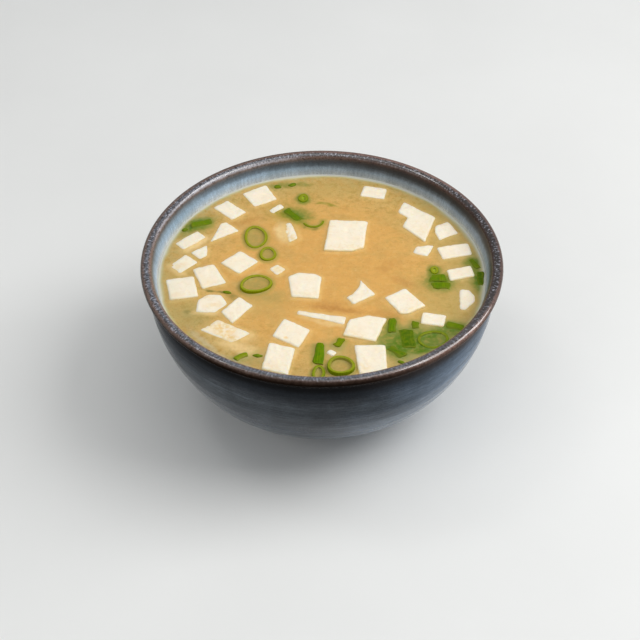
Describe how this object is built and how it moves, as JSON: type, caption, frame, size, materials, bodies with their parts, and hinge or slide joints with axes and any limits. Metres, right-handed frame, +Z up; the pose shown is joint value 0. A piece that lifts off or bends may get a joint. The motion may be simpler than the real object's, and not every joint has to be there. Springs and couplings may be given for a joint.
{
  "type": "bowl of miso soup",
  "caption": "Round stoneware bowl with a rolled lip and a foot ring, filled with miso soup in which cut blocks of tofu, scallion rings and lengths of leaf float.",
  "frame": {"origin": "centre of the foot ring's underside, where the bowl stands", "axes": "+Z up through the mouth of the bowl, +X to the right and +Y to the far side of the bowl for someone eating from it"},
  "size_m": [0.13, 0.13, 0.0595],
  "materials": {
    "glaze": "gloss",
    "broth": "gloss",
    "tofu": "satin",
    "scallion": "satin"
  },
  "bodies": {
    "root": {"bowl": "glaze", "soup": "broth", "tofu_01": "tofu", "tofu_02": "tofu", "tofu_03": "tofu", "tofu_04": "tofu", "tofu_05": "tofu", "tofu_06": "tofu", "tofu_07": "tofu", "tofu_08": "tofu", "tofu_09": "tofu", "tofu_10": "tofu", "tofu_11": "tofu", "tofu_12": "tofu", "tofu_13": "tofu", "tofu_14": "tofu", "tofu_15": "tofu", "tofu_16": "tofu", "tofu_17": "tofu", "tofu_18": "tofu", "tofu_19": "tofu", "tofu_20": "tofu", "tofu_21": "tofu", "tofu_22": "tofu", "tofu_23": "tofu", "tofu_24": "tofu", "tofu_25": "tofu", "tofu_26": "tofu", "tofu_27": "tofu", "tofu_28": "tofu", "tofu_29": "tofu", "tofu_30": "tofu", "tofu_31": "tofu", "tofu_32": "tofu", "tofu_33": "tofu", "scallion_ring_1": "scallion", "scallion_ring_2": "scallion", "scallion_ring_3": "scallion", "scallion_ring_4": "scallion", "scallion_ring_5": "scallion", "scallion_ring_6": "scallion", "scallion_ring_7": "scallion", "scallion_ring_8": "scallion", "scallion_curl_1": "scallion", "scallion_curl_2": "scallion", "scallion_leaf_1": "scallion", "scallion_leaf_2": "scallion", "scallion_leaf_3": "scallion", "scallion_leaf_4": "scallion", "scallion_leaf_5": "scallion", "scallion_leaf_6": "scallion", "scallion_leaf_7": "scallion", "scallion_leaf_8": "scallion", "scallion_leaf_9": "scallion", "scallion_leaf_10": "scallion", "scallion_leaf_11": "scallion", "scallion_leaf_12": "scallion", "scallion_leaf_13": "scallion"}
  },
  "joints": []
}
